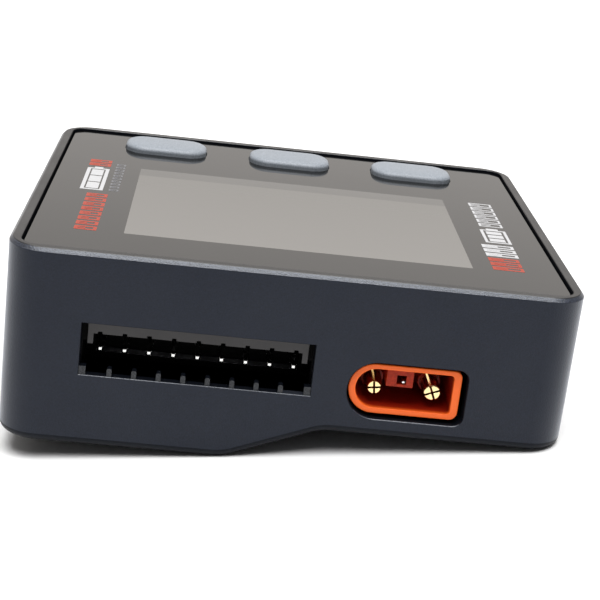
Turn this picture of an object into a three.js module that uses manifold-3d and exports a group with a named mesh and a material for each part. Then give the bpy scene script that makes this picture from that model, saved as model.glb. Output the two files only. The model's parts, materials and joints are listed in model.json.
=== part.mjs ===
// Handheld battery checker and balancer for radio-control models.
// It rests tilted on its stepped underside: on the ridge of its thick end and the lower edge of its thin end.
// Units are millimetres. The device frame has X along the width, Y from the port face to the back,
// Z up, and Z = 0 at the top of the rim. The device group is then tilted about Y and set on Z = 0.

import * as THREE from "three";
import { mergeVertices } from "three/addons/utils/BufferGeometryUtils.js";
import Module from "manifold-3d";

const wasm = await Module();
wasm.setup();

// ---------------------------------------------------------------- driving dimensions
const WIDTH = 59;
const DEPTH = 53.9;
const THICK = 20.9; // height of the thick end, rim to underside
const STEP = 4; // how much thinner the other end is
const RAMP_START = -7.2; // where the underside starts to rise
const RAMP_RADIUS = 6;
const RAMP_ANGLE = THREE.MathUtils.degToRad(22);
const CORNER = 4; // vertical corner radius
const EDGE_ROUND = 0.9; // round along the lower edge
const RIM_CHAMFER = 0.38;
const RIM = 1.28; // width of the rim around the panel
const WALL = 1.9;
const FRONT = -DEPTH / 2; // the port face

const FIT = 0.05; // clearance between pieces that touch
const GROOVE = 0.28; // gap between the rim and the panel
const RECESS_CORNER = 2;
const LEDGE_Z = -2.65; // the ledge that the inner frame rests on

const PANEL = { top: -0.3, thick: 1 };
const GASKET = { top: -1.35, thick: 0.2, width: 1.6 };
const FRAME = { top: -1.6, thick: 1 };
const BOARD = { top: -5.45, thick: 1.2, inset: 2.3 };
const BOARD_UNDER = BOARD.top - BOARD.thick;

const LCD = { x: 0.1, y: -4.75, width: 41, depth: 32, top: -1.65, thick: 1.2, gap: 0.3 };
const BACKLIGHT = { width: 40.4, depth: 31.6, top: -2.9, thick: 1.6 };
const FLEX = { width: 12, thick: 0.15, turn: 0.9, end: -14.1 };
const FLEX_CONNECTOR = { width: 14, depth: 3, thick: 0.75, y: -12.5 };

// Pill-shaped buttons: a rounded rectangle that reaches this far from its middle in X and in Y.
const BUTTON = { x: [-15.85, -0.1, 15.65], y: 19.6, reach: [5.1, 3.2], radius: 2.6 };
const BUTTON_FIT = { gap: 0.12, flange: 0.6, travel: 0.3 };
const SWITCH = { side: 5.2, thick: 1.25, hole: 1.3, plunger: 1.1 };

const SCREW = { x: 25.3, y: 22.6, shank: 0.95, head: 1.9, headThick: 1.3, bearing: -14.9, tip: -2.95 };
const BOSS_RADIUS = 3;
const POST_RADIUS = 2.2;

const PIN = { pitch: 2.5, count: 9, first: -19.52, z: -11.1, side: 0.64, tip: 2.8, leg: 11.05 };
const BALANCE = { x: -9.52, top: -7.42, bottom: -13.02, width: 23.7 }; // opening in the port face
const TOOTH = { width: 0.5, height: 0.85, depth: 1 }; // comb along the lower edge of that opening
const EAR = { width: 0.7, height: 0.92 };
const HEADER = { width: 24.9, top: -6.8, bottom: -13.3, front: WALL + 0.1, back: 9.9 };
const NOSE = { width: 22.5, top: -7.55, bottom: -12.95, front: 1.05 }; // the part inside the opening
const CAVITY = { width: 21.3, top: -8.85, bottom: -12.6, back: 7.4 };
const SIDE_SLOT = { top: -9.95, back: 6 }; // the lower wall and the lower part of each side wall stand back
const NOTCH = { width: 0.45, height: 0.25 }; // over each pin

const POWER = { x: 11.98, z: -11.77, width: 11.65, height: 5.47, corner: 0.85, front: 0.6, back: 10.9 };
const POWER_INSIDE = { x: 11.94, z: -11.74, width: 10.05, height: 4.28, corner: 0.4, back: 8.6 };
const POWER_OPENING = { x: 12.18, z: -11.82, width: 12.35, height: 6.2, corner: 1.1 };
const BULLET = { spacing: 6.08, x: 11.99, z: -12, radius: 0.9, tip: 1.5, leg: 12.4, tail: 0.65, slit: 0.2 };
const KEY = { x: 11.45, width: 2.8, bottom: -11.55, front: 1.1 };
const KEY_HOLE = { x: 11.62, z: -10.75, side: 1 };
const DATA_PIN = { x: 11.72, z: -10.85, side: 0.5, tip: 1.4 };

// ---------------------------------------------------------------- materials
function finish(color, roughness, metalness = 0) {
  return new THREE.MeshStandardMaterial({ color, roughness, metalness });
}

const MATERIALS = {
  caseBlack: finish(0x2b2e34, 0.55),
  panelBlack: finish(0x0b0b0c, 0.08),
  foam: finish(0x1c1c1c, 0.95),
  innerBlack: finish(0x232323, 0.6),
  lcd: finish(0x3c3b38, 0.15),
  backlight: finish(0xd8d8d2, 0.5),
  flex: finish(0xb5651d, 0.4),
  connectorCream: finish(0xd9d2bd, 0.5),
  boardGreen: finish(0x14502c, 0.45),
  headerBlack: finish(0x1a1b1d, 0.5),
  socketOrange: finish(0xe0491a, 0.45),
  gold: finish(0xd9a441, 0.25, 1),
  tin: finish(0xc9cbcc, 0.3, 1),
  buttonGrey: finish(0x8b929b, 0.6),
  steel: finish(0x8c8f93, 0.35, 1),
  chip: finish(0x17181a, 0.55),
  ferrite: finish(0x3a3a3c, 0.7),
};

// ---------------------------------------------------------------- solids
function toSolid(geometry) {
  const bare = geometry.clone();
  bare.deleteAttribute("normal");
  bare.deleteAttribute("uv");
  const merged = mergeVertices(bare, 1e-5);
  const mesh = new wasm.Mesh({
    numProp: 3,
    vertProperties: merged.attributes.position.array,
    triVerts: Uint32Array.from(merged.index.array),
  });
  return new wasm.Manifold(mesh);
}

function toGeometry(solid) {
  const mesh = solid.getMesh();
  const geometry = new THREE.BufferGeometry();
  geometry.setAttribute("position", new THREE.BufferAttribute(mesh.vertProperties, 3));
  geometry.setIndex(new THREE.BufferAttribute(mesh.triVerts, 1));
  geometry.computeVertexNormals();
  return geometry;
}

const cut = (solid, tools) => tools.reduce((left, tool) => left.subtract(tool), solid);
const join = (solids) => solids.reduce((left, right) => left.add(right));

// A box between two corners.
function block(low, high) {
  const size = high.map((value, i) => value - low[i]);
  const middle = high.map((value, i) => (value + low[i]) / 2);
  return toSolid(new THREE.BoxGeometry(...size).translate(...middle));
}

// An upright cylinder between two heights.
function post(x, y, radius, low, high, sides = 16) {
  const geometry = new THREE.CylinderGeometry(radius, radius, high - low, sides);
  return toSolid(geometry.rotateX(Math.PI / 2).translate(x, y, (low + high) / 2));
}

// A round bar along Y between two depths behind the port face.
function bar(x, z, radius, from, to, sides = 16) {
  const geometry = new THREE.CylinderGeometry(radius, radius, to - from, sides);
  return toSolid(geometry.translate(x, FRONT + (from + to) / 2, z));
}

// A rounded rectangle at height z, grown outwards, that reaches `reach` from its middle in X and in Y.
function roundedRing(reach, radius, z, grow = 0, segments = 4) {
  const quarter = Math.PI / 2;
  const corners = [[1, -1], [1, 1], [-1, 1], [-1, -1]];
  return corners.flatMap(([sideX, sideY], turn) => {
    const points = [];
    for (let i = 0; i <= segments; i += 1) {
      const angle = (turn - 1 + i / segments) * quarter;
      const x = sideX * (reach[0] - radius) + (radius + grow) * Math.cos(angle);
      const y = sideY * (reach[1] - radius) + (radius + grow) * Math.sin(angle);
      points.push([x, y, z]);
    }
    return points;
  });
}

// A closed body through rings of points with the same count, capped with fans.
function stacked(rings) {
  const count = rings[0].length;
  const top = (rings.length - 1) * count;
  const index = [];
  for (let base = 0; base < top; base += count) {
    for (let i = 0; i < count; i += 1) {
      const next = (i + 1) % count;
      index.push(base + i, base + next, base + count + next);
      index.push(base + i, base + count + next, base + count + i);
    }
  }
  for (let i = 1; i + 1 < count; i += 1) {
    index.push(0, i + 1, i);
    index.push(top, top + i, top + i + 1);
  }
  const geometry = new THREE.BufferGeometry();
  geometry.setAttribute("position", new THREE.Float32BufferAttribute(rings.flat(2), 3));
  geometry.setIndex(index);
  return toSolid(geometry);
}

// An outline in X and Z, pushed from one depth behind the port face to another.
function pushed(shape, from, to, curveSegments = 10) {
  const geometry = new THREE.ExtrudeGeometry(shape, { depth: to - from, bevelEnabled: false, curveSegments });
  return toSolid(geometry.rotateX(Math.PI / 2).translate(0, FRONT + to, 0));
}

// ---------------------------------------------------------------- the case body
// How far the underside has risen at x: flat, a round, a straight ramp, a round, flat.
function rise(x) {
  const roundWidth = RAMP_RADIUS * Math.sin(RAMP_ANGLE);
  const roundRise = RAMP_RADIUS * (1 - Math.cos(RAMP_ANGLE));
  const straightWidth = (STEP - 2 * roundRise) / Math.tan(RAMP_ANGLE);
  const along = x - RAMP_START;
  const total = 2 * roundWidth + straightWidth;
  const fillet = (distance) => RAMP_RADIUS - Math.sqrt(RAMP_RADIUS ** 2 - distance ** 2);
  if (along <= 0) return 0;
  if (along < roundWidth) return fillet(along);
  if (along < roundWidth + straightWidth) return roundRise + (along - roundWidth) * Math.tan(RAMP_ANGLE);
  if (along < total) return STEP - fillet(total - along);
  return STEP;
}

const underside = (x) => -THICK + rise(x);

// X positions that follow the ramp.
function rampStations() {
  const roundWidth = RAMP_RADIUS * Math.sin(RAMP_ANGLE);
  const roundRise = RAMP_RADIUS * (1 - Math.cos(RAMP_ANGLE));
  const total = 2 * roundWidth + (STEP - 2 * roundRise) / Math.tan(RAMP_ANGLE);
  const turns = [0, 0.33, 0.66, 1].map((part) => RAMP_RADIUS * Math.sin(RAMP_ANGLE * part));
  const first = turns.map((distance) => RAMP_START + distance);
  const last = turns.map((distance) => RAMP_START + total - distance).reverse();
  return [...first, ...last];
}

// One half of a rounded rectangle, from its left end to its right end along the port side.
function halfOutline(inset, radius, segments) {
  const centreX = WIDTH / 2 - inset - radius;
  const centreY = DEPTH / 2 - inset - radius;
  const points = [];
  for (let i = 0; i <= segments; i += 1) {
    const angle = (i / segments) * (Math.PI / 2);
    points.push([-centreX - radius * Math.cos(angle), -centreY - radius * Math.sin(angle)]);
  }
  for (const x of rampStations()) points.push([x, -centreY - radius]);
  for (let i = segments; i >= 0; i -= 1) {
    const angle = (i / segments) * (Math.PI / 2);
    points.push([centreX + radius * Math.cos(angle), -centreY - radius * Math.sin(angle)]);
  }
  return points;
}

// A closed body lofted through levels, each a rounded rectangle whose height may follow x.
function lofted(levels, segments = 6) {
  const positions = [];
  for (const { inset, radius, height } of levels) {
    const half = halfOutline(inset, radius, segments);
    const ring = [...half, ...half.map(([x, y]) => [x, -y]).reverse()];
    for (const [x, y] of ring) positions.push(x, y, height(x));
  }
  const half = positions.length / 3 / levels.length / 2;
  const ring = half * 2;
  const index = [];
  const quad = (a, b, c, d) => index.push(a, b, c, a, c, d);
  for (let level = 0; level + 1 < levels.length; level += 1) {
    const low = level * ring;
    for (let i = 0; i < ring; i += 1) {
      const next = (i + 1) % ring;
      quad(low + i, low + next, low + ring + next, low + ring + i);
    }
  }
  const top = (levels.length - 1) * ring;
  for (let i = 0; i + 1 < half; i += 1) {
    const opposite = ring - 1 - i;
    quad(i, opposite, opposite - 1, i + 1);
    quad(top + i, top + i + 1, top + opposite - 1, top + opposite);
  }
  const geometry = new THREE.BufferGeometry();
  geometry.setAttribute("position", new THREE.Float32BufferAttribute(positions, 3));
  geometry.setIndex(index);
  return toSolid(geometry);
}

const level = (z) => () => z;

// A flat slab with the plan of a rounded rectangle inset from the case.
function slab(inset, radius, low, high) {
  const ends = [low, high].map((z) => ({ inset, radius, height: level(z) }));
  return lofted(ends, 4);
}

// The outline of the power socket: a half-round left end and a square right end.
function socketShape(x, z, width, height, corner) {
  const radius = height / 2;
  const right = x + width / 2;
  const left = x - width / 2 + radius;
  const shape = new THREE.Shape();
  shape.moveTo(left, z - radius);
  shape.lineTo(right - corner, z - radius);
  shape.absarc(right - corner, z - radius + corner, corner, -Math.PI / 2, 0, false);
  shape.absarc(right - corner, z + radius - corner, corner, 0, Math.PI / 2, false);
  shape.absarc(left, z, radius, Math.PI / 2, Math.PI * 1.5, false);
  return shape;
}

const pinX = (i) => PIN.first + i * PIN.pitch;
const bulletX = (side) => BULLET.x + (side * BULLET.spacing) / 2;
const screwPlaces = [-1, 1].flatMap((sx) => [-1, 1].map((sy) => [sx * SCREW.x, sy * SCREW.y]));

function caseShell() {
  const roundLevels = [0, 30, 60, 90].map((degrees) => {
    const angle = THREE.MathUtils.degToRad(degrees);
    const inset = EDGE_ROUND * (1 - Math.sin(angle));
    const lift = EDGE_ROUND * (1 - Math.cos(angle));
    return { inset, radius: CORNER - inset, height: (x) => underside(x) + lift };
  });
  const outer = lofted([
    ...roundLevels,
    { inset: 0, radius: CORNER, height: level(-RIM_CHAMFER) },
    { inset: RIM_CHAMFER, radius: CORNER - RIM_CHAMFER, height: level(0) },
  ]);
  const hollow = lofted([
    { inset: WALL, radius: CORNER - WALL, height: (x) => underside(x) + WALL },
    { inset: WALL, radius: CORNER - WALL, height: level(1) },
  ]);
  const recess = slab(RIM, RECESS_CORNER, LEDGE_Z, 1);
  const bosses = screwPlaces.map(([x, y]) => post(x, y, BOSS_RADIUS, underside(x) + 1, BOARD_UNDER - FIT));
  const pockets = screwPlaces.map(([x, y]) => post(x, y, SCREW.head + 0.2, -THICK - 1, SCREW.bearing));
  const holes = screwPlaces.map(([x, y]) => post(x, y, SCREW.shank + 0.25, -THICK, BOARD.top, 12));
  const { x, z, width, height, corner } = POWER_OPENING;
  const powerOpening = pushed(socketShape(x, z, width, height, corner), -1, WALL + 0.1);
  const tub = join([cut(outer, [hollow]), ...bosses]);
  return cut(tub, [recess, ...pockets, ...holes, balanceOpening(), powerOpening]);
}

// The cutter for the balance opening: a rectangle that leaves two ears and a comb of teeth at its lower edge,
// with the wall thinned behind them.
function balanceOpening() {
  const left = BALANCE.x - BALANCE.width / 2;
  const right = BALANCE.x + BALANCE.width / 2;
  const low = BALANCE.bottom - 1;
  const stand = (from, to, height) =>
    block([from, FRONT - 2, low], [to, FRONT + TOOTH.depth, BALANCE.bottom + height]);
  const teeth = [];
  for (let i = 0; i + 1 < PIN.count; i += 1) {
    const middle = pinX(i) + PIN.pitch / 2;
    teeth.push(stand(middle - TOOTH.width / 2, middle + TOOTH.width / 2, TOOTH.height));
  }
  const leftEar = stand(left - 1, left + EAR.width, EAR.height);
  const rightEar = stand(right - EAR.width, right + 1, EAR.height);
  const opening = block([left, FRONT - 1, BALANCE.bottom], [right, FRONT + WALL + 0.5, BALANCE.top]);
  const relief = block(
    [left, FRONT + TOOTH.depth, BALANCE.bottom - 1.2],
    [right, FRONT + WALL + 0.5, BALANCE.bottom + 0.5],
  );
  return join([cut(opening, [leftEar, rightEar, ...teeth]), relief]);
}

// ---------------------------------------------------------------- panel, gasket and inner frame
const PANEL_INSET = RIM + GROOVE;
const PANEL_CORNER = RECESS_CORNER - GROOVE;

const buttonRing = (z, grow) => roundedRing(BUTTON.reach, BUTTON.radius, z, grow);

function buttonHoles(low, high) {
  const hole = stacked([buttonRing(low, BUTTON_FIT.gap), buttonRing(high, BUTTON_FIT.gap)]);
  return BUTTON.x.map((x) => hole.translate([x, BUTTON.y, 0]));
}

function frontPanel() {
  const low = PANEL.top - PANEL.thick;
  return cut(slab(PANEL_INSET, PANEL_CORNER, low, PANEL.top), buttonHoles(low - 1, 1));
}

function panelGasket() {
  const low = GASKET.top - GASKET.thick;
  const outer = slab(PANEL_INSET + FIT, PANEL_CORNER, low, GASKET.top);
  const inner = slab(PANEL_INSET + GASKET.width, 0.8, low - 1, GASKET.top + 1);
  return cut(outer, [inner]);
}

function innerFrame() {
  const low = FRAME.top - FRAME.thick;
  const plate = slab(PANEL_INSET, PANEL_CORNER, low, FRAME.top);
  const reachX = LCD.width / 2 + LCD.gap;
  const reachY = LCD.depth / 2 + LCD.gap;
  const window = block([LCD.x - reachX, LCD.y - reachY, low - 1], [LCD.x + reachX, LCD.y + reachY, 1]);
  const posts = screwPlaces.map(([x, y]) => post(x, y, POST_RADIUS, BOARD.top + FIT, low + 0.2));
  const bite = SCREW.shank + 0.1;
  const holes = screwPlaces.map(([x, y]) => post(x, y, bite, BOARD.top - 1, SCREW.tip + 0.5, 12));
  return cut(join([plate, ...posts]), [window, ...buttonHoles(low - 1, 1), ...holes]);
}

// ---------------------------------------------------------------- display
function lcdGlass() {
  const { x, y, width, depth, top, thick } = LCD;
  return new THREE.BoxGeometry(width, depth, thick).translate(x, y, top - thick / 2);
}

function lcdBacklight() {
  const { width, depth, top, thick } = BACKLIGHT;
  return new THREE.BoxGeometry(width, depth, thick).translate(LCD.x, LCD.y, top - thick / 2);
}

// A ribbon that leaves the glass at the port end and turns back under the backlight.
function lcdFlex() {
  const edge = LCD.y - BACKLIGHT.depth / 2 - 0.3;
  const high = BACKLIGHT.top - 0.1;
  const middle = high - FLEX.turn;
  const quarter = Math.PI / 2;
  const shape = new THREE.Shape();
  shape.moveTo(edge + 0.2, high);
  shape.absarc(edge, middle, FLEX.turn, quarter, 3 * quarter, false);
  shape.lineTo(FLEX.end, middle - FLEX.turn);
  shape.lineTo(FLEX.end, middle - FLEX.turn + FLEX.thick);
  shape.absarc(edge, middle, FLEX.turn - FLEX.thick, 3 * quarter, quarter, true);
  shape.lineTo(edge + 0.2, high - FLEX.thick);
  const options = { depth: FLEX.width, bevelEnabled: false, curveSegments: 8 };
  const geometry = new THREE.ExtrudeGeometry(shape, options);
  return geometry.rotateX(quarter).rotateZ(quarter).translate(-FLEX.width / 2 + LCD.x, 0, 0);
}

// ---------------------------------------------------------------- circuit board
function pinHoles() {
  const holes = [];
  for (let i = 0; i < PIN.count; i += 1) {
    holes.push(post(pinX(i), FRONT + PIN.leg, 0.6, BOARD_UNDER - 1, 0, 8));
  }
  for (const side of [-1, 1]) {
    holes.push(post(bulletX(side), FRONT + BULLET.leg, BULLET.tail + 0.15, BOARD_UNDER - 1, 0, 8));
  }
  holes.push(post(DATA_PIN.x, FRONT + BULLET.leg, 0.6, BOARD_UNDER - 1, 0, 8));
  return holes;
}

function mainBoard() {
  const board = slab(BOARD.inset, 1.2, BOARD_UNDER, BOARD.top);
  const screwHoles = screwPlaces.map(([x, y]) => post(x, y, SCREW.shank + 0.25, BOARD_UNDER - 1, 0, 12));
  return cut(board, [...screwHoles, ...pinHoles()]);
}

// ---------------------------------------------------------------- balance socket
function balanceSocket() {
  const centred = (width, from, to, low, high) =>
    block([BALANCE.x - width / 2, FRONT + from, low], [BALANCE.x + width / 2, FRONT + to, high]);
  const nose = centred(NOSE.width, NOSE.front, HEADER.front + 0.5, NOSE.bottom, NOSE.top);
  const body = centred(HEADER.width, HEADER.front, HEADER.back, HEADER.bottom, HEADER.top);
  const cavity = centred(CAVITY.width, 0, CAVITY.back, CAVITY.bottom, CAVITY.top);
  const lowerSlot = centred(NOSE.width + 1, 0, SIDE_SLOT.back, HEADER.bottom - 1, SIDE_SLOT.top);
  const grip = PIN.side / 2 + FIT;
  const passages = [];
  for (let i = 0; i < PIN.count; i += 1) {
    const x = pinX(i);
    passages.push(block([x - grip, FRONT, PIN.z - grip], [x + grip, FRONT + HEADER.back + 1, PIN.z + grip]));
    const notchLow = [x - NOTCH.width / 2, FRONT, CAVITY.top - 0.5];
    const notchHigh = [x + NOTCH.width / 2, FRONT + CAVITY.back, CAVITY.top + NOTCH.height];
    passages.push(block(notchLow, notchHigh));
  }
  return cut(join([nose, body]), [cavity, lowerSlot, ...passages]);
}

// A square pin that runs back through the socket and turns up through the board.
function balancePin() {
  const half = PIN.side / 2;
  const tip = FRONT + PIN.tip;
  const leg = FRONT + PIN.leg;
  const taper = 0.3;
  const shape = new THREE.Shape();
  shape.moveTo(tip, PIN.z - half + taper / 2);
  shape.lineTo(tip + taper, PIN.z - half);
  shape.lineTo(leg + half, PIN.z - half);
  shape.lineTo(leg + half, BOARD.top + 0.6);
  shape.lineTo(leg - half, BOARD.top + 0.6);
  shape.lineTo(leg - half, PIN.z + half);
  shape.lineTo(tip + taper, PIN.z + half);
  shape.lineTo(tip, PIN.z + half - taper / 2);
  const geometry = new THREE.ExtrudeGeometry(shape, { depth: PIN.side, bevelEnabled: false });
  return geometry.rotateX(Math.PI / 2).rotateZ(Math.PI / 2).translate(-half, 0, 0);
}

// ---------------------------------------------------------------- power socket
const socketOutline = ({ x, z, width, height, corner }) => socketShape(x, z, width, height, corner);

function powerSocket() {
  const shell = pushed(socketOutline(POWER), POWER.front, POWER.back);
  const cavity = pushed(socketOutline(POWER_INSIDE), -1, POWER_INSIDE.back);
  const ceiling = POWER_INSIDE.z + POWER_INSIDE.height / 2;
  const key = block(
    [KEY.x - KEY.width / 2, FRONT + KEY.front, KEY.bottom],
    [KEY.x + KEY.width / 2, FRONT + POWER_INSIDE.back + 0.5, ceiling + 0.2],
  );
  const halfHole = KEY_HOLE.side / 2;
  const keyHole = block(
    [KEY_HOLE.x - halfHole, FRONT, KEY_HOLE.z - halfHole],
    [KEY_HOLE.x + halfHole, FRONT + POWER.back + 1, KEY_HOLE.z + halfHole],
  );
  const bores = [-1, 1].map((side) => bar(bulletX(side), BULLET.z, BULLET.radius + FIT, 0, POWER.back + 1));
  return cut(join([cut(shell, [cavity]), key]), [keyHole, ...bores]);
}

// A round contact that runs back through the socket, with a solder leg turned up through the board.
function bullet() {
  const { z, tip, leg, tail, slit } = BULLET;
  const radius = BULLET.radius - FIT / 2;
  const barrel = bar(0, z, radius, tip + 0.4, leg + tail);
  const taper = 0.4;
  const nose = new THREE.CylinderGeometry(radius, radius * 0.78, taper, 16);
  nose.translate(0, FRONT + tip + taper / 2, z);
  const upright = post(0, FRONT + leg, tail, z, BOARD.top + 0.6, 12);
  const slits = [[2, slit / 2], [slit / 2, 2]].map(([x, height]) =>
    block([-x, FRONT, z - height], [x, FRONT + tip + 3, z + height]));
  return cut(join([barrel, toSolid(nose), upright]), slits);
}

function dataPin() {
  const { x, z, side, tip } = DATA_PIN;
  const half = side / 2;
  const leg = FRONT + BULLET.leg;
  const run = block([x - half, FRONT + tip, z - half], [x + half, leg + half, z + half]);
  return join([run, block([x - half, leg - half, z - half], [x + half, leg + half, BOARD.top + 0.6])]);
}

// ---------------------------------------------------------------- buttons
function lathed(points, segments) {
  const profile = points.map(([radius, z]) => new THREE.Vector2(radius, z));
  return new THREE.LatheGeometry(profile, segments).rotateX(Math.PI / 2);
}

// The cap: a low dome, a rounded edge, a skirt, a retaining flange and a stem.
function buttonCap() {
  const flangeTop = FRAME.top - FRAME.thick - 0.1;
  const flangeLow = flangeTop - 0.6;
  const stem = post(0, 0, 1.5, flangeLow - 0.35, flangeLow + 0.1);
  const flange = stacked([flangeLow, flangeTop].map((z) => buttonRing(z, BUTTON_FIT.flange)));
  const dome = [[flangeTop - 0.1, 0], [0.1, 0], [0.42, -0.16], [0.6, -0.6], [0.68, -1.8], [0.72, -2.8]];
  return join([stem, flange, stacked(dome.map(([z, grow]) => buttonRing(z, grow)))]);
}

const plungerTop = FRAME.top - FRAME.thick - 0.1 - 0.6 - 0.35 - FIT;

function switchPlunger() {
  const radius = SWITCH.plunger;
  const profile = [[0, -1.2], [radius, -1.2], [radius, -0.1], [radius - 0.1, 0], [0, 0]];
  return lathed(profile, 16).translate(0, 0, plungerTop);
}

function switchBody() {
  const half = SWITCH.side / 2;
  const low = BOARD.top + FIT;
  const body = block([-half, -half, low], [half, half, low + SWITCH.thick]);
  return cut(body, [post(0, 0, SWITCH.hole, plungerTop - 1.2 - BUTTON_FIT.travel - 0.1, 0, 16)]);
}

// ---------------------------------------------------------------- fasteners and board parts
function caseScrew() {
  const { shank, head, headThick, bearing, tip } = SCREW;
  const top = bearing - FIT;
  const low = top - headThick;
  const headProfile = [[0, low], [head - 0.2, low], [head, low + 0.3], [head, top]];
  const shankProfile = [[shank, top], [shank, tip - 0.5], [0.4, tip], [0, tip]];
  const body = toSolid(lathed([...headProfile, ...shankProfile], 14));
  const slots = [[0.25, 1.1], [1.1, 0.25]].map(([x, y]) => block([-x, -y, low - 1], [x, y, low + 0.8]));
  return cut(body, slots);
}

const under = (width, depth, thick) =>
  new THREE.BoxGeometry(width, depth, thick).translate(0, 0, BOARD_UNDER - FIT - thick / 2);

function canUnder(radius, thick) {
  const top = BOARD_UNDER - FIT;
  const low = top - thick;
  return lathed([[0, low], [radius - 0.3, low], [radius, low + 0.3], [radius, top], [0, top]], 20);
}

// ---------------------------------------------------------------- assembly
const device = new THREE.Group();

function place(name, shape, material, x = 0, y = 0) {
  const geometry = shape instanceof THREE.BufferGeometry ? shape : toGeometry(shape);
  const mesh = new THREE.Mesh(geometry, material);
  mesh.name = name;
  mesh.position.set(x, y, 0);
  device.add(mesh);
}

place("case_shell", caseShell(), MATERIALS.caseBlack);
place("front_panel", frontPanel(), MATERIALS.panelBlack);
place("panel_gasket", panelGasket(), MATERIALS.foam);
place("inner_frame", innerFrame(), MATERIALS.innerBlack);
place("lcd_glass", lcdGlass(), MATERIALS.lcd);
place("lcd_backlight", lcdBacklight(), MATERIALS.backlight);
place("lcd_flex", lcdFlex(), MATERIALS.flex);
const connector = new THREE.BoxGeometry(FLEX_CONNECTOR.width, FLEX_CONNECTOR.depth, FLEX_CONNECTOR.thick);
connector.translate(0, 0, BOARD.top + FIT + FLEX_CONNECTOR.thick / 2);
place("lcd_connector", connector, MATERIALS.connectorCream, LCD.x, FLEX_CONNECTOR.y);
place("main_board", mainBoard(), MATERIALS.boardGreen);

place("balance_socket_shell", balanceSocket(), MATERIALS.headerBlack);
for (let i = 0; i < PIN.count; i += 1) place(`balance_pin_${i + 1}`, balancePin(), MATERIALS.tin, pinX(i));

place("power_socket_shell", powerSocket(), MATERIALS.socketOrange);
place("power_contact_left", bullet(), MATERIALS.gold, bulletX(-1));
place("power_contact_right", bullet(), MATERIALS.gold, bulletX(1));
place("power_data_pin", dataPin(), MATERIALS.tin);

BUTTON.x.forEach((x, i) => {
  place(`button_cap_${i + 1}`, buttonCap(), MATERIALS.buttonGrey, x, BUTTON.y);
  place(`switch_plunger_${i + 1}`, switchPlunger(), MATERIALS.headerBlack, x, BUTTON.y);
  place(`switch_body_${i + 1}`, switchBody(), MATERIALS.steel, x, BUTTON.y);
});

screwPlaces.forEach(([x, y], i) => place(`case_screw_${i + 1}`, caseScrew(), MATERIALS.steel, x, y));

place("processor_chip", under(7, 7, 1.2), MATERIALS.chip, -14, 3);
place("balancer_chip", under(5, 6.5, 1.3), MATERIALS.chip, -14, -9);
const resistorRows = [-9, -3, 3, 9];
[4, 13].forEach((x, column) => resistorRows.forEach((y, row) => {
  const number = column * resistorRows.length + row + 1;
  place(`bleed_resistor_${number}`, under(6.3, 3.2, 0.6), MATERIALS.chip, x, y);
}));
place("buzzer", canUnder(4.5, 4.2), MATERIALS.chip, -20, 14);
place("power_inductor", under(6, 6, 3), MATERIALS.ferrite, 15, 18);
place("filter_capacitor", canUnder(3.15, 5.8), MATERIALS.tin, 2, 18);

// ---------------------------------------------------------------- resting tilt
// Both contact lines touch Z = 0: the round at the ramp's foot and the round lower edge at the thin end.
const across = WIDTH / 2 - EDGE_ROUND - RAMP_START;
const drop = THICK - RAMP_RADIUS - (THICK - STEP - EDGE_ROUND);
const reach = Math.hypot(across, drop);
const tilt = Math.asin((RAMP_RADIUS - EDGE_ROUND) / reach) + Math.atan2(drop, across);

device.rotation.y = tilt;
device.updateMatrixWorld(true);
const box = new THREE.Box3().setFromObject(device, true);
const centre = box.getCenter(new THREE.Vector3());
device.position.set(-centre.x, -centre.y, -box.min.z);

const checker = new THREE.Group();
checker.add(device);
export default checker;
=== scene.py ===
"""Looks for a handheld battery checker and balancer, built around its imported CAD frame.

Shapes are made in millimetres in the device frame: X along the width, Y from the port face to the back,
Z up, and Z = 0 at the top of the rim. placed() then tilts them into the resting pose, in metres.
"""

import json
import math

import bmesh
import bpy
from mathutils import Matrix, Vector


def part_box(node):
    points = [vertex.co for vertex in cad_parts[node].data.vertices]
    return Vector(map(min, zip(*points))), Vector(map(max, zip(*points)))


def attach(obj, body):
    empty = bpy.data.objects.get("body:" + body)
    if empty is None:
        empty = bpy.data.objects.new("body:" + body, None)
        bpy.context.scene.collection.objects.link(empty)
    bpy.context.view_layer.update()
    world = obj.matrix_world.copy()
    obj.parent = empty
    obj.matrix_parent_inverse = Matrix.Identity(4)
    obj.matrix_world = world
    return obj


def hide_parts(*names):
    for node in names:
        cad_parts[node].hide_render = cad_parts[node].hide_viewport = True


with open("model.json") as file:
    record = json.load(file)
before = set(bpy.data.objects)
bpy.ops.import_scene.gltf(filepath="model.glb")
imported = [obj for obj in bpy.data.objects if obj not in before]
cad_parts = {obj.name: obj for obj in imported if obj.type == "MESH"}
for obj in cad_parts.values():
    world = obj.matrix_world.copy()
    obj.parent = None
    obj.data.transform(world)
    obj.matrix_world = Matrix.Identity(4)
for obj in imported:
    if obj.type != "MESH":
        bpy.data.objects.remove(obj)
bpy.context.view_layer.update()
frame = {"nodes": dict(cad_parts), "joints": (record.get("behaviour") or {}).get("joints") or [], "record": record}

# ------------------------------------------------------------------ dimensions, mm
MM = 0.001
WIDTH, DEPTH = 59.0, 53.9
THICK, STEP = 20.9, 4.0
RAMP_START, RAMP_RADIUS, RAMP_ANGLE = -7.2, 6.0, math.radians(22)
CORNER, EDGE_ROUND, RIM_CHAMFER, RIM, WALL = 4.0, 0.9, 0.38, 1.28, 1.9
FRONT = -DEPTH / 2
GROOVE, RECESS_CORNER, LEDGE_Z = 0.28, 2.0, -2.65

PANEL_TOP, PANEL_THICK = -0.3, 1.0
DISPLAY = {"left": -18.37, "right": 18.55, "near": -18.35, "far": 8.85}
# The darker strip along the display's far edge is painted shade.
DISPLAY_SHADE_BAND = 3.0  # the darker strip along the far edge of the display

BUTTON_X, BUTTON_Y, BUTTON_REACH, BUTTON_RADIUS = (-15.85, -0.1, 15.65), 19.6, (5.1, 3.2), 2.6
BUTTON_GAP, BUTTON_FLANGE = 0.06, 0.6

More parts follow.
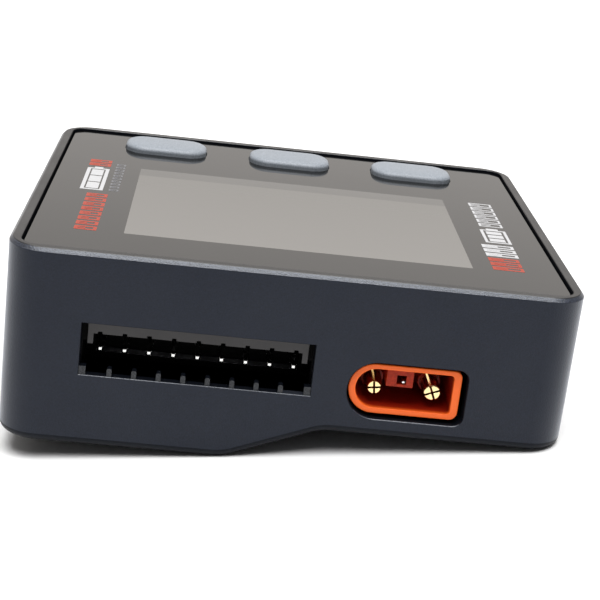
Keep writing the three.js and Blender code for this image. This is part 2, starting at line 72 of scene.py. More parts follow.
SCREW_X, SCREW_Y, SCREW_SHANK, SCREW_HEAD, SCREW_BEARING = 25.3, 22.6, 0.95, 1.9, -14.9
SCREW_PLACES = [(side_x * SCREW_X, side_y * SCREW_Y) for side_x in (-1, 1) for side_y in (-1, 1)]
BOSS_RADIUS = 3.0

PIN_PITCH, PIN_COUNT, PIN_FIRST, PIN_Z = 2.5, 9, -19.52, -11.1
PIN_SIDE, PIN_TIP, PIN_LEG = 0.64, 2.8, 11.05
BOARD_TOP, BOARD_UNDER = -5.45, -6.65
BALANCE_X, BALANCE_WIDTH, BALANCE_TOP, BALANCE_BOTTOM = -9.52, 23.7, -7.42, -13.02
TOOTH_WIDTH, TOOTH_HEIGHT, TOOTH_SETBACK, TOOTH_DEPTH = 0.5, 0.85, 0.12, 1.0
EAR_WIDTH, EAR_HEIGHT = 0.7, 0.92

POWER = {"x": 11.98, "z": -11.77, "width": 11.65, "height": 5.47, "corner": 0.85}
POWER_INSIDE = {"x": 11.94, "z": -11.74, "width": 10.05, "height": 4.28, "corner": 0.4}
POWER_OPENING = {"x": 12.18, "z": -11.82, "width": 12.35, "height": 6.2, "corner": 1.1}
POWER_FRONT, POWER_FLOOR, POWER_BACK = 0.6, 8.6, 10.9
KEY = {"left": 10.05, "right": 12.85, "front": 1.1, "low": -11.55, "high": -9.4}
KEY_HOLE = {"left": 11.12, "right": 12.12, "low": -11.25, "high": -10.25}
DATA_PIN_X, DATA_PIN_Z, DATA_PIN_TIP, DATA_PIN_RADIUS = 11.84, -11.01, 1.2, 0.22
BULLET_X, BULLET_SPACING, BULLET_Z = 11.99, 6.08, -12.0
BULLET_RADIUS, BULLET_TIP, BULLET_LEG = 0.9, 1.5, 12.4
COLLAR_FRONT = 4.6

# ------------------------------------------------------------------ the resting pose
press_axis = Vector(frame["joints"][0]["axis"])
device_up = -press_axis
tilt = math.atan2(device_up.x, device_up.z)
TURN = Matrix.Rotation(tilt, 4, "Y")
GLASS_CENTRE = Vector((0.1, -4.75, -2.25)) * MM
low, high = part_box("lcd_glass")
DEVICE = Matrix.Translation((low + high) / 2 - TURN @ GLASS_CENTRE) @ TURN


# ------------------------------------------------------------------ mesh helpers
def new_object(name, bm):
    mesh = bpy.data.meshes.new(name)
    bm.to_mesh(mesh)
    bm.free()
    obj = bpy.data.objects.new(name, mesh)
    bpy.context.scene.collection.objects.link(obj)
    return obj


def stack(name, rings):
    """A closed body from rings of points with the same count, capped at both ends."""
    bm = bmesh.new()
    rows = [[bm.verts.new(p) for p in ring] for ring in rings]
    for lower, upper in zip(rows, rows[1:]):
        for i in range(len(lower)):
            j = (i + 1) % len(lower)
            bm.faces.new((lower[i], lower[j], upper[j], upper[i]))
    bm.faces.new(list(reversed(rows[0])))
    bm.faces.new(rows[-1])
    bmesh.ops.recalc_face_normals(bm, faces=bm.faces)
    return new_object(name, bm)


def block(low, high):
    corners = [(low[0], low[1]), (high[0], low[1]), (high[0], high[1]), (low[0], high[1])]
    return stack("block", [[(x, y, z) for x, y in corners] for z in (low[2], high[2])])


def circle(radius, segments, centre):
    turn = 2 * math.pi / segments
    angles = [i * turn for i in range(segments)]
    return [(centre[0] + radius * math.cos(a), centre[1] + radius * math.sin(a)) for a in angles]


def upright(name, profile, centre=(0, 0), segments=64):
    """A turned body about a vertical axis, from (radius, z) pairs."""
    return stack(name, [[(x, y, z) for x, y in circle(r, segments, centre)] for r, z in profile])


def pill(grow, z, centre=(0, 0), steps=12):
    """A button's outline at height z, grown outwards: a rounded rectangle."""
    flat_x, flat_y = (reach - BUTTON_RADIUS for reach in BUTTON_REACH)
    radius = BUTTON_RADIUS + grow
    points = []
    for turn, (side_x, side_y) in enumerate(((1, -1), (1, 1), (-1, 1), (-1, -1))):
        for i in range(steps + 1):
            a = (turn - 1 + i / steps) * math.pi / 2
            x, y = side_x * flat_x + radius * math.cos(a), side_y * flat_y + radius * math.sin(a)
            points.append((centre[0] + x, centre[1] + y, z))
    return points


def along_y(name, profile, centre, segments=48):
    """A turned body about an axis along Y, from (radius, depth behind the port face) pairs."""
    return stack(name, [[(x, FRONT + d, z) for x, z in circle(r, segments, centre)] for r, d in profile])


def combine(obj, tools, operation):
    for tool in tools:
        modifier = obj.modifiers.new("combine", "BOOLEAN")
        modifier.operation = operation
        modifier.solver = "EXACT"
        modifier.object = tool
    apply_modifiers(obj)
    for tool in tools:
        bpy.data.objects.remove(tool)
    return obj


def apply_modifiers(obj):
    depsgraph = bpy.context.evaluated_depsgraph_get()
    mesh = bpy.data.meshes.new_from_object(obj.evaluated_get(depsgraph))
    obj.modifiers.clear()
    obj.data = mesh


def cut(obj, tools):
    return combine(obj, tools, "DIFFERENCE")


def join(obj, tools):
    return combine(obj, tools, "UNION")


def softened(obj, width, segments=2, angle=40):
    """Rounds the sharp edges of a body by a small bevel."""
    modifier = obj.modifiers.new("bevel", "BEVEL")
    modifier.width = width
    modifier.segments = segments
    modifier.limit_method = "ANGLE"
    modifier.angle_limit = math.radians(angle)
    modifier.use_clamp_overlap = True
    apply_modifiers(obj)
    return obj


def shaded(obj, angle=32):
    """Smooth shading that keeps flat faces flat and edges over the angle sharp."""
    bm = bmesh.new()
    bm.from_mesh(obj.data)
    bmesh.ops.remove_doubles(bm, verts=bm.verts, dist=1e-4)
    bm.to_mesh(obj.data)
    bm.free()
    obj.data.shade_smooth()
    obj.data.set_sharp_from_angle(angle=math.radians(angle))
    modifier = obj.modifiers.new("normals", "WEIGHTED_NORMAL")
    modifier.keep_sharp = True
    apply_modifiers(obj)
    return obj


def placed(obj, name, looks, body="checker", replaces=()):
    """Puts a finished piece into the resting pose, gives it its looks, ties it to its body and hides the CAD nodes
    that it replaces.
    """
    obj.name = name
    obj.data.name = name
    obj.data.transform(DEVICE @ Matrix.Scale(MM, 4))
    indices = [face.material_index for face in obj.data.polygons]
    obj.data.materials.clear()
    for mat in looks if isinstance(looks, tuple) else (looks,):
        obj.data.materials.append(mat)
    obj.data.polygons.foreach_set("material_index", indices)
    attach(obj, body)
    if replaces:
        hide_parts(*replaces)
    return obj


# ------------------------------------------------------------------ outlines
def rise(x):
    """How far the underside has risen at x: flat, a round, a straight ramp, a round, flat."""
    round_width = RAMP_RADIUS * math.sin(RAMP_ANGLE)
    round_rise = RAMP_RADIUS * (1 - math.cos(RAMP_ANGLE))
    straight = (STEP - 2 * round_rise) / math.tan(RAMP_ANGLE)
    along, total = x - RAMP_START, 2 * round_width + straight
    if along <= 0:
        return 0.0
    if along < round_width:
        return RAMP_RADIUS - math.sqrt(RAMP_RADIUS**2 - along**2)
    if along < round_width + straight:
        return round_rise + (along - round_width) * math.tan(RAMP_ANGLE)
    if along < total:
        return STEP - RAMP_RADIUS + math.sqrt(RAMP_RADIUS**2 - (total - along) ** 2)
    return STEP


def ramp_stations(steps=8):
    round_width = RAMP_RADIUS * math.sin(RAMP_ANGLE)
    round_rise = RAMP_RADIUS * (1 - math.cos(RAMP_ANGLE))
    total = 2 * round_width + (STEP - 2 * round_rise) / math.tan(RAMP_ANGLE)
    turns = [RAMP_RADIUS * math.sin(RAMP_ANGLE * i / steps) for i in range(steps + 1)]
    return [RAMP_START + t for t in turns] + [RAMP_START + total - t for t in reversed(turns)]


def half_outline(inset, radius, segments):
    """The port side of a rounded rectangle inset from the case, from its left end to its right end."""
    cx, cy = WIDTH / 2 - inset - radius, DEPTH / 2 - inset - radius
    quarter = [i / segments * math.pi / 2 for i in range(segments + 1)]
    left = [(-cx - radius * math.cos(a), -cy - radius * math.sin(a)) for a in quarter]
    right = [(cx + radius * math.cos(a), -cy - radius * math.sin(a)) for a in reversed(quarter)]
    return left + [(x, -cy - radius) for x in ramp_stations()] + right


def lofted(name, levels, segments=16):
    """A body lofted through (inset, corner radius, height) levels. A height may be a function of x."""
    bm = bmesh.new()
    rows = []
    for inset, radius, height in levels:
        half = half_outline(inset, radius, segments)
        ring = half + [(x, -y) for x, y in reversed(half)]
        rows.append([bm.verts.new((x, y, height(x) if callable(height) else height)) for x, y in ring])
    count = len(rows[0])
    for lower, upper in zip(rows, rows[1:]):
        for i in range(count):
            j = (i + 1) % count
            bm.faces.new((lower[i], lower[j], upper[j], upper[i]))
    for i in range(count // 2 - 1):
        k = count - 1 - i
        bm.faces.new((rows[0][i], rows[0][k], rows[0][k - 1], rows[0][i + 1]))
        bm.faces.new((rows[-1][i], rows[-1][i + 1], rows[-1][k - 1], rows[-1][k]))
    return new_object(name, bm)


def d_outline(shape, inset=0.0, segments=20):
    """The power socket's outline in X and Z: half-round at the left end, square at the right."""
    x, z, width, height = shape["x"], shape["z"], shape["width"] - 2 * inset, shape["height"] - 2 * inset
    corner = max(shape["corner"] - inset, 0.06)
    radius, right = height / 2, x + width / 2
    left = x - width / 2 + radius
    points = []
    corner_steps = 6
    for cz, start in ((z - radius + corner, -math.pi / 2), (z + radius - corner, 0.0)):
        for i in range(corner_steps + 1):
            a = start + i / corner_steps * math.pi / 2
            points.append((right - corner + corner * math.cos(a), cz + corner * math.sin(a)))
    for i in range(segments + 1):
        a = math.pi / 2 + i / segments * math.pi
        points.append((left + radius * math.cos(a), z + radius * math.sin(a)))
    return points


def pushed(name, shape, levels):
    """The D outline carried through (inset, depth behind the port face) levels."""
    rings = [[(x, FRONT + depth, z) for x, z in d_outline(shape, inset)] for inset, depth in levels]
    return stack(name, rings)


def rounding(radius, steps=4):
    """(inset, drop) pairs of a quarter round, from the side to the top."""
    angles = [i / steps * math.pi / 2 for i in range(steps + 1)]
    return [(radius * (1 - math.cos(a)), radius * (1 - math.sin(a))) for a in angles]


# ------------------------------------------------------------------ materials
NOISE_DETAIL = 3
NOISE_LOW, NOISE_HIGH = 0.3, 0.7  # most of a noise texture's values lie between these


def material(name, color, roughness, metallic=0.0, specular=0.5, sheen=0.0, sheen_roughness=0.3,
             tint=(1, 1, 1)):
    mat = bpy.data.materials.new(name)
    mat.use_nodes = True
    shader = mat.node_tree.nodes["Principled BSDF"]
    shader.inputs["Base Color"].default_value = (*color, 1)
    shader.inputs["Roughness"].default_value = roughness
    shader.inputs["Metallic"].default_value = metallic
    shader.inputs["Specular IOR Level"].default_value = specular
    shader.inputs["Sheen Weight"].default_value = sheen
    shader.inputs["Sheen Roughness"].default_value = sheen_roughness
    shader.inputs["Sheen Tint"].default_value = (*tint, 1)
    shader.inputs["Specular Tint"].default_value = (*tint, 1)
    return mat


def noise(mat, size_mm):
    """A noise texture in object space whose features are about size_mm across."""
    nodes, links = mat.node_tree.nodes, mat.node_tree.links
    place = nodes.new("ShaderNodeTexCoord")
    texture = nodes.new("ShaderNodeTexNoise")
    texture.inputs["Scale"].default_value = 1 / (size_mm * MM)
    texture.inputs["Detail"].default_value = NOISE_DETAIL
    links.new(place.outputs["Object"], texture.inputs["Vector"])
    return texture.outputs["Fac"]


def vary_color(mat, factor, dark, light):
    nodes, links = mat.node_tree.nodes, mat.node_tree.links
    ramp = nodes.new("ShaderNodeValToRGB")
    ramp.color_ramp.elements[0].position = NOISE_LOW
    ramp.color_ramp.elements[0].color = (*dark, 1)
    ramp.color_ramp.elements[1].position = NOISE_HIGH
    ramp.color_ramp.elements[1].color = (*light, 1)
    links.new(factor, ramp.inputs["Fac"])
    links.new(ramp.outputs["Color"], nodes["Principled BSDF"].inputs["Base Color"])


def vary_roughness(mat, factor, low, high):
    nodes, links = mat.node_tree.nodes, mat.node_tree.links
    spread = nodes.new("ShaderNodeMapRange")
    spread.inputs["From Min"].default_value = NOISE_LOW
    spread.inputs["From Max"].default_value = NOISE_HIGH
    spread.inputs["To Min"].default_value = low
    spread.inputs["To Max"].default_value = high
    links.new(factor, spread.inputs["Value"])
    links.new(spread.outputs["Result"], nodes["Principled BSDF"].inputs["Roughness"])


def bump(mat, factor, height_mm):
    nodes, links = mat.node_tree.nodes, mat.node_tree.links
    node = nodes.new("ShaderNodeBump")
    node.inputs["Distance"].default_value = height_mm * MM
    links.new(factor, node.inputs["Height"])
    links.new(node.outputs["Normal"], nodes["Principled BSDF"].inputs["Normal"])


def fade_along_y(mat, start, stop, stops, wobble=0.1):
    """Colour that changes from one Y position to another, in mm, broken up by a little noise."""
    nodes, links = mat.node_tree.nodes, mat.node_tree.links
    place, split = nodes.new("ShaderNodeTexCoord"), nodes.new("ShaderNodeSeparateXYZ")
    links.new(place.outputs["Object"], split.inputs["Vector"])
    spread = nodes.new("ShaderNodeMapRange")
    spread.inputs["From Min"].default_value = start * MM
    spread.inputs["From Max"].default_value = stop * MM
    links.new(split.outputs["Y"], spread.inputs["Value"])
    grain = nodes.new("ShaderNodeMath")
    grain.operation = "MULTIPLY_ADD"
    grain.inputs[1].default_value = wobble
    links.new(noise(mat, 0.3), grain.inputs[0])
    links.new(spread.outputs["Result"], grain.inputs[2])
    ramp = nodes.new("ShaderNodeValToRGB")
    for i, (position, color) in enumerate(stops):
        element = ramp.color_ramp.elements[i] if i < 2 else ramp.color_ramp.elements.new(position)
        element.position = position
        element.color = (*color, 1)
    links.new(grain.outputs["Value"], ramp.inputs["Fac"])
    links.new(ramp.outputs["Color"], nodes["Principled BSDF"].inputs["Base Color"])


def plastic(name, color, roughness, grain_mm, grain_height, spread=0.25, **settings):
    """Moulded plastic: a fine grain in the bump and small changes of colour and roughness."""
    mat = material(name, color, roughness, **settings)
    fine = noise(mat, grain_mm)
    broad = noise(mat, 6.0)
    dark = [c * (1 - spread) for c in color]
    light = [c * (1 + spread) for c in color]
    vary_color(mat, fine, dark, light)
    vary_roughness(mat, broad, roughness - 0.04, roughness + 0.05)
    bump(mat, fine, grain_height)
    return mat


COOL = (0.88, 0.92, 1.0)
CASE = plastic("case_plastic", (0.0045, 0.0068, 0.0145), 0.42, 0.16, 0.02, specular=0.26,
               sheen=0.45, sheen_roughness=0.42, tint=COOL)
# A darker copy of the case plastic without sheen, for recess walls, port mouths and faces that turn downwards:
# painted shade.
CASE_SHADED = plastic("case_painted_shade", (0.004, 0.005, 0.008), 0.45, 0.16, 0.012, specular=0.15, tint=COOL)
# A lighter, glossier copy of the case plastic for the up-facing chamfers of the rim and the port mouths: painted
# highlight.
CHAMFER = plastic("case_edge_painted_highlight", (0.026, 0.03, 0.042), 0.3, 0.13, 0.04, spread=0.9, specular=0.68,
                  tint=(0.92, 0.95, 1.0))
# A lighter, greyer copy of the case plastic for the rim's top flats: painted light.
RIM_TOP = plastic("case_rim_painted_light", (0.012, 0.012, 0.013), 0.36, 0.14, 0.02, specular=0.5)
# A much lighter copy of the case plastic for the front faces of the teeth in the balance opening: painted light.
TOOTH = plastic("case_tooth_painted_light", (0.03, 0.032, 0.036), 0.5, 0.14, 0.05, spread=0.5, specular=0.3)
PANEL = plastic("panel_gloss", (0.004, 0.004, 0.004), 0.06, 8.0, 0.0005)
GLASS = plastic("display_surface", (0.1, 0.1, 0.1), 0.09, 12.0, 0.0005, spread=0.05)
# A darker copy of the display's colour for the band along its far edge: painted shade.
GLASS_SHADE_BAND = plastic("display_band_painted_shade", (0.078, 0.075, 0.071), 0.09, 12.0, 0.0005, spread=0.05)
# The display's colour darkens from its near edge towards the band at its far edge: painted shade.
fade_along_y(GLASS, DISPLAY["near"], DISPLAY["far"] - DISPLAY_SHADE_BAND, [
    (0.0, (0.15, 0.143, 0.134)), (1.0, (0.112, 0.107, 0.099)),
], 0.02)
BUTTON = plastic("button_rubber", (0.235, 0.258, 0.288), 0.5, 0.14, 0.02)
HEADER_BLACK = plastic("header_nylon", (0.01, 0.0105, 0.012), 0.4, 0.2, 0.008, specular=0.4)
# The header's colour changes with depth behind the port face: lighter on the nose's front, dark further in, a
# light strip on the cavity floor just in front of the back wall, and black at the back wall. This is painted light
# and painted shade.
fade_along_y(HEADER_BLACK, FRONT, FRONT + 10, [
    (0.1, (0.03, 0.028, 0.029)), (0.2, (0.004, 0.004, 0.004)), (0.46, (0.004, 0.004, 0.004)),
    (0.58, (0.3, 0.3, 0.32)), (0.72, (0.3, 0.3, 0.32)), (0.735, (0.002, 0.002, 0.002)),
], 0.0)
# A darker, less glossy copy of the header nylon for its faces deep inside that don't face up: painted shade.
HEADER_SHADED = plastic("header_painted_shade", (0.0025, 0.0025, 0.0028), 0.6, 0.2, 0.008, specular=0.08)
ORANGE = plastic("socket_nylon", (0.75, 0.1, 0.015), 0.38, 0.25, 0.006, spread=0.12, specular=0.3)
# The socket's orange darkens to deep red from 0.6 to 1.4 mm behind the port face, so its inside and the collars
# are deep red: painted shade.
fade_along_y(ORANGE, FRONT + 0.6, FRONT + 1.4, [(0.0, (0.95, 0.15, 0.016)), (1.0, (0.32, 0.014, 0.003))])
# A darker copy of the socket orange for the key's front face inside the socket: painted shade.
ORANGE_KEY = plastic("socket_key_painted_shade", (0.33, 0.026, 0.008), 0.42, 0.25, 0.006, specular=0.15)
INNER_BLACK = plastic("inner_plastic", (0.02, 0.02, 0.02), 0.5, 0.2, 0.01)
FOAM = plastic("gasket_foam", (0.015, 0.015, 0.015), 0.9, 0.25, 0.06)
DIFFUSER = plastic("diffuser", (0.7, 0.7, 0.67), 0.5, 0.5, 0.004, spread=0.05)
FLEX = plastic("flex_film", (0.5, 0.2, 0.04), 0.35, 0.6, 0.002)
CREAM = plastic("connector_nylon", (0.62, 0.56, 0.43), 0.5, 0.3, 0.006, spread=0.1)
SOLDER_MASK = plastic("solder_mask", (0.015, 0.12, 0.04), 0.3, 0.4, 0.004)
CHIP = plastic("chip_epoxy", (0.015, 0.015, 0.017), 0.55, 0.15, 0.01)
GOLD = plastic("gold_plate", (0.95, 0.72, 0.36), 0.16, 0.3, 0.002, spread=0.06, metallic=1.0)
TIN = plastic("tin_plate", (0.86, 0.86, 0.83), 0.18, 0.2, 0.002, spread=0.05, metallic=1.0)
STEEL = plastic("screw_steel", (0.32, 0.33, 0.35), 0.34, 0.2, 0.004, metallic=1.0)
PRINT_WHITE = plastic("print_white", (0.46, 0.46, 0.47), 0.5, 0.2, 0.001, spread=0.03)
PRINT_GREY = plastic("print_grey", (0.14, 0.14, 0.15), 0.5, 0.2, 0.001, spread=0.03)
PRINT_ORANGE = plastic("print_orange", (0.33, 0.035, 0.015), 0.5, 0.2, 0.001, spread=0.03)

CARRIED_OVER = {
    "case_plastic": CASE, "panel_gloss": PANEL, "inner_plastic": INNER_BLACK, "foam": FOAM,
    "display": GLASS, "diffuser": DIFFUSER, "flex": FLEX, "connector_cream": CREAM, "board": SOLDER_MASK,
    "header_plastic": HEADER_BLACK, "socket_orange": ORANGE, "gold_plate": GOLD, "tin_plate": TIN,
    "button_rubber": BUTTON, "screw_steel": STEEL, "chip_epoxy": CHIP,
}
for part in frame["record"]["subparts"]:
    node = frame["nodes"][part["node"]]
    node.data.materials.clear()
    node.data.materials.append(CARRIED_OVER[part["material_slot"]])


# ------------------------------------------------------------------ case
def comb_block(low_x, high_x, height, round_top=False):
    """A tooth or an ear on the lower edge of the balance opening, set back a little from the port face."""
    width = high_x - low_x
    base = BALANCE_BOTTOM - 1
    top = BALANCE_BOTTOM + height
    outline = [(low_x, base), (high_x, base)]
    if round_top:
        radius, steps = width * 0.35, 4
        for cx, start in ((high_x - radius, 0.0), (low_x + radius, math.pi / 2)):
            for i in range(steps + 1):
                a = start + i / steps * math.pi / 2
                outline.append((cx + radius * math.cos(a), top - radius + radius * math.sin(a)))
    else:
        outline += [(high_x, top), (low_x, top)]
    return stack("tooth", [[(x, FRONT + d, z) for x, z in outline] for d in (TOOTH_SETBACK, TOOTH_DEPTH)])


def balance_cutter():
    """The balance opening: a rectangle with a softened mouth that leaves two ears and a comb of teeth."""
    half, middle = BALANCE_WIDTH / 2, (BALANCE_TOP + BALANCE_BOTTOM) / 2
    half_height = (BALANCE_TOP - BALANCE_BOTTOM) / 2
    mouth = 0.05
    levels = [(mouth, -1.0), (mouth, 0.0), (0.0, mouth), (0.0, WALL + 0.5)]
    rings = []
    for grow, depth in levels:
        x0, x1 = BALANCE_X - half - grow, BALANCE_X + half + grow
        z0, z1 = middle - half_height - grow, middle + half_height + grow
        rings.append([(x, FRONT + depth, z) for x, z in ((x0, z0), (x1, z0), (x1, z1), (x0, z1))])
    cutter = stack("balance_cutter", rings)
    left, right = BALANCE_X - half, BALANCE_X + half
    stands = [
        comb_block(left - 1, left + EAR_WIDTH, EAR_HEIGHT),
        comb_block(right - EAR_WIDTH, right + 1, EAR_HEIGHT),
    ]
    for i in range(PIN_COUNT - 1):
        x = PIN_FIRST + (i + 0.5) * PIN_PITCH
        stands.append(comb_block(x - TOOTH_WIDTH / 2, x + TOOTH_WIDTH / 2, TOOTH_HEIGHT, round_top=True))
    cut(cutter, stands)
    relief_low = (left, FRONT + TOOTH_DEPTH, BALANCE_BOTTOM - 1.2)
    relief_high = (right, FRONT + WALL + 0.5, BALANCE_BOTTOM + 0.5)
    return join(cutter, [block(relief_low, relief_high)])


def power_cutter():
    mouth = 0.07
    levels = [(-mouth, -1.0), (-mouth, 0.0), (0.0, mouth), (0.0, WALL + 0.3)]
    return pushed("power_cutter", POWER_OPENING, levels)


def underside(x):
    return -THICK + rise(x)


def make_case():
    """The tub: stepped underside, chamfered rim, panel recess, four screw bosses and two port openings."""
    levels = []
    steps = 7
    for i in range(steps + 1):
        angle = i / steps * math.pi / 2
        inset, lift = EDGE_ROUND * (1 - math.sin(angle)), EDGE_ROUND * (1 - math.cos(angle))
        levels.append((inset, CORNER - inset, lambda x, lift=lift: underside(x) + lift))
    brow = 0.07
    levels += [
        (0.0, CORNER, -RIM_CHAMFER - brow),
        (brow * 0.3, CORNER - brow * 0.3, -RIM_CHAMFER - brow * 0.3),
        (RIM_CHAMFER - brow * 0.7, CORNER - RIM_CHAMFER + brow * 0.7, -brow),
        (RIM_CHAMFER + brow * 0.3, CORNER - RIM_CHAMFER - brow * 0.3, -brow * 0.15),
        (RIM_CHAMFER + brow, CORNER - RIM_CHAMFER - brow, 0.0),
    ]
    case = lofted("case", levels)
    hollow = lofted("hollow", [
        (WALL, CORNER - WALL, lambda x: underside(x) + WALL), (WALL, CORNER - WALL, 1.0),
    ])
    lip, lip_drop = 0.06, 0.08
    recess = lofted("recess", [
        (RIM, RECESS_CORNER, LEDGE_Z), (RIM, RECESS_CORNER, -lip_drop),
        (RIM - lip, RECESS_CORNER + lip, 0.0), (RIM - lip, RECESS_CORNER + lip, 1.0),
    ])
    cut(case, [hollow])
    bosses = []
    for x, y in SCREW_PLACES:
        profile = [(BOSS_RADIUS, underside(x) + 1), (BOSS_RADIUS, BOARD_UNDER - 0.05)]
        bosses.append(upright("boss", profile, (x, y), 40))
    join(case, bosses)
    tools = [recess, balance_cutter(), power_cutter()]
    pocket, mouth, hole = SCREW_HEAD + 0.2, 0.15, SCREW_SHANK + 0.25
    for x, y in SCREW_PLACES:
        low = underside(x)
        tools.append(upright("pocket", [
            (pocket + mouth, -THICK - 1), (pocket + mouth, low),
            (pocket, low + mouth), (pocket, SCREW_BEARING),
        ], (x, y), 48))
        tools.append(upright("hole", [(hole, -THICK), (hole, BOARD_TOP)], (x, y), 24))
    cut(case, tools)
    # Each face takes a lit or shaded copy of the case plastic by where it lies and which way it faces: painted
    # light and painted shade.
    for face in case.data.polygons:
        face.material_index = case_look(face.center, face.normal)
    looks = (CASE, CHAMFER, CASE_SHADED, RIM_TOP, TOOTH)
    placed(shaded(case), "case_body", looks, replaces=["case_shell"])


# The case's looks, in the order in which make_case() gives them to it. Apart from the outer wall, they are copies
# of the same plastic that carry painted highlight, painted shade or painted light.
OUTER_WALL, HIGHLIGHT_EDGE, INSIDE, RIM_FACE, TOOTH_FACE = range(5)
# The part of the port face that holds both ports.
PORTS = {"low": -15.2, "high": -7, "reach": 25}
# How close a face lies to the surface that it belongs to, in mm.
NEAR = 0.1
# A face looks along an axis when its normal's share of that axis is over this.
FACING = 0.9


def case_look(centre, normal):
    """Which of the case's looks a face takes, from where it is and which way it faces."""
    dx, dy = abs(centre.x) - WIDTH / 2 + CORNER, abs(centre.y) - DEPTH / 2 + CORNER
    depth_inside = CORNER - math.hypot(max(dx, 0), max(dy, 0)) if max(dx, dy) > 0 else CORNER
    by_ports = PORTS["low"] < centre.z < PORTS["high"] and abs(centre.x) < PORTS["reach"]
    at_mouth = centre.y < FRONT + NEAR and abs(normal.y) < FACING and by_ports
    # The rim's top flats take their lighter copy: painted light.
    if centre.z > -NEAR:
        return RIM_FACE
    # Up-facing chamfers at the rim and at the port mouths take the painted highlight.
    slopes_up = 0.5 < normal.z < FACING
    if slopes_up and (at_mouth or -RIM_CHAMFER < centre.z):
        return HIGHLIGHT_EDGE
    # The front faces of the teeth take their lighter copy: painted light.
    if FRONT + 0.05 < centre.y < FRONT + 0.3 and normal.y < -FACING and by_ports:
        return TOOTH_FACE
    # Inner faces and faces that turn downwards take the darker copy: painted shade.
    outer = depth_inside < 0.3 and not at_mouth
    return OUTER_WALL if outer and normal.z > -0.1 else INSIDE


# ------------------------------------------------------------------ panel and display
def make_panel():
    inset, corner = RIM + GROOVE, RECESS_CORNER - GROOVE
    bottom, soft = PANEL_TOP - PANEL_THICK, 0.06
    levels = [(inset, corner, bottom)]
    levels += [(inset + d, corner - d, PANEL_TOP - drop) for d, drop in rounding(soft)]
    panel = lofted("panel", levels, 12)
    tools = []
    flare_width = 0.04
    flare = [(0, bottom - 1), (0, PANEL_TOP - flare_width)]
    flare += [(flare_width, PANEL_TOP), (flare_width, PANEL_TOP + 1)]
    for x in BUTTON_X:
        tools.append(stack("hole", [pill(BUTTON_GAP + grow, z, (x, BUTTON_Y)) for grow, z in flare]))
    cut(panel, tools)
    bm = bmesh.new()
    bm.from_mesh(panel.data)
    left, right, near, far = (DISPLAY[k] for k in ("left", "right", "near", "far"))
    for axis, value in ((0, left), (0, right), (1, near), (1, far), (1, far - DISPLAY_SHADE_BAND)):
        normal = Vector([float(axis == 0), float(axis == 1), 0.0])
        geometry = bm.verts[:] + bm.edges[:] + bm.faces[:]
        bmesh.ops.bisect_plane(bm, geom=geometry, plane_co=normal * value, plane_no=normal, dist=1e-5)
    # The display's faces take its look, and those in the far band take the darker copy: painted shade.
    for face in bm.faces:
        x, y, z = face.calc_center_median()
        if face.normal.z > 0.99 and z > PANEL_TOP - 0.02 and left < x < right and near < y < far:
            face.material_index = 2 if y > far - DISPLAY_SHADE_BAND else 1
    bm.to_mesh(panel.data)
    bm.free()
    looks = (PANEL, GLASS, GLASS_SHADE_BAND)
    placed(shaded(panel), "panel_glossy", looks, replaces=["front_panel"])


# ------------------------------------------------------------------ printed marks without letters
MARK_SINK, MARK_LIFT = -0.01, 0.012


def bar_mark(x0, x1, y0, y1):
    return block((x0, y0, PANEL_TOP + MARK_SINK), (x1, y1, PANEL_TOP + MARK_LIFT))


def merged(name, objects):
    bm = bmesh.new()
    for obj in objects:
        bm.from_mesh(obj.data)
        bpy.data.objects.remove(obj)
    return new_object(name, bm)


def battery_mark(x0, x1, y0, y1, line):
    """A battery seen from its side: an outline, a terminal and three level bars."""
    body_end = y1 - 0.55
    pieces = [
        bar_mark(x0, x0 + line, y0, body_end), bar_mark(x1 - line, x1, y0, body_end),
        bar_mark(x0 + line, x1 - line, y0, y0 + line),
        bar_mark(x0 + line, x1 - line, body_end - line, body_end),
        bar_mark(x0 + 0.8, x1 - 0.8, body_end, y1),
    ]
    room = body_end - y0 - 2 * line
    for i in range(3):
        start = y0 + line + 0.25 + i * (room - 0.25) / 3
        pieces.append(bar_mark(x0 + 0.6, x1 - 0.6, start, start + (room - 0.25) / 3 - 0.3))
    return pieces


def cell_mark(x0, x1, y0, y1, line):
    """One battery cell: an outline with a short bar halfway up."""
    middle = (y0 + y1 - line) / 2
    return [
        bar_mark(x0, x0 + line, y0, y1), bar_mark(x1 - line, x1, y0, y1),
        bar_mark(x0 + line, x1 - line, y0, y0 + line),
        bar_mark(x0 + line, (x0 + x1) / 2, middle, middle + line),
        bar_mark(x0 + line, x1 - line, y1 - line, y1),
    ]


def make_marks():
    """Battery and cell marks in columns on the two sides of the display."""
    orange, white, grey = [], [], []
    for i in range(8):
        orange += cell_mark(-23.6, -21.25, -18.4 + i * 1.84, -17.05 + i * 1.84, 0.36)
    white += battery_mark(-24.6, -22.0, -2.7, 7.6, 0.42)
    orange += cell_mark(-24.6, -22.0, 8.2, 9.5, 0.4) + cell_mark(-24.6, -22.0, 9.8, 11.1, 0.4)
    for i in range(10):
        grey += cell_mark(-21.35, -20.25, -2.5 + i * 1.28, -1.7 + i * 1.28, 0.2)
    for i in range(3):
        orange += cell_mark(20.8, 24.2, -18.0 + i * 1.55, -16.8 + i * 1.55, 0.36)
        white += cell_mark(20.8, 24.4, -13.1 + i * 1.55, -11.9 + i * 1.55, 0.36)
    white += battery_mark(21.5, 24.5, -7.9, -2.2, 0.34)
    for i in range(6):
        white += cell_mark(21.7, 24.5, -1.4 + i * 1.75, -0.05 + i * 1.75, 0.26)
    for name, pieces, look in (
        ("marks_orange", orange, PRINT_ORANGE),
        ("marks_white", white, PRINT_WHITE),
        ("marks_grey", grey, PRINT_GREY),
    ):
        placed(merged(name, pieces), name, look)


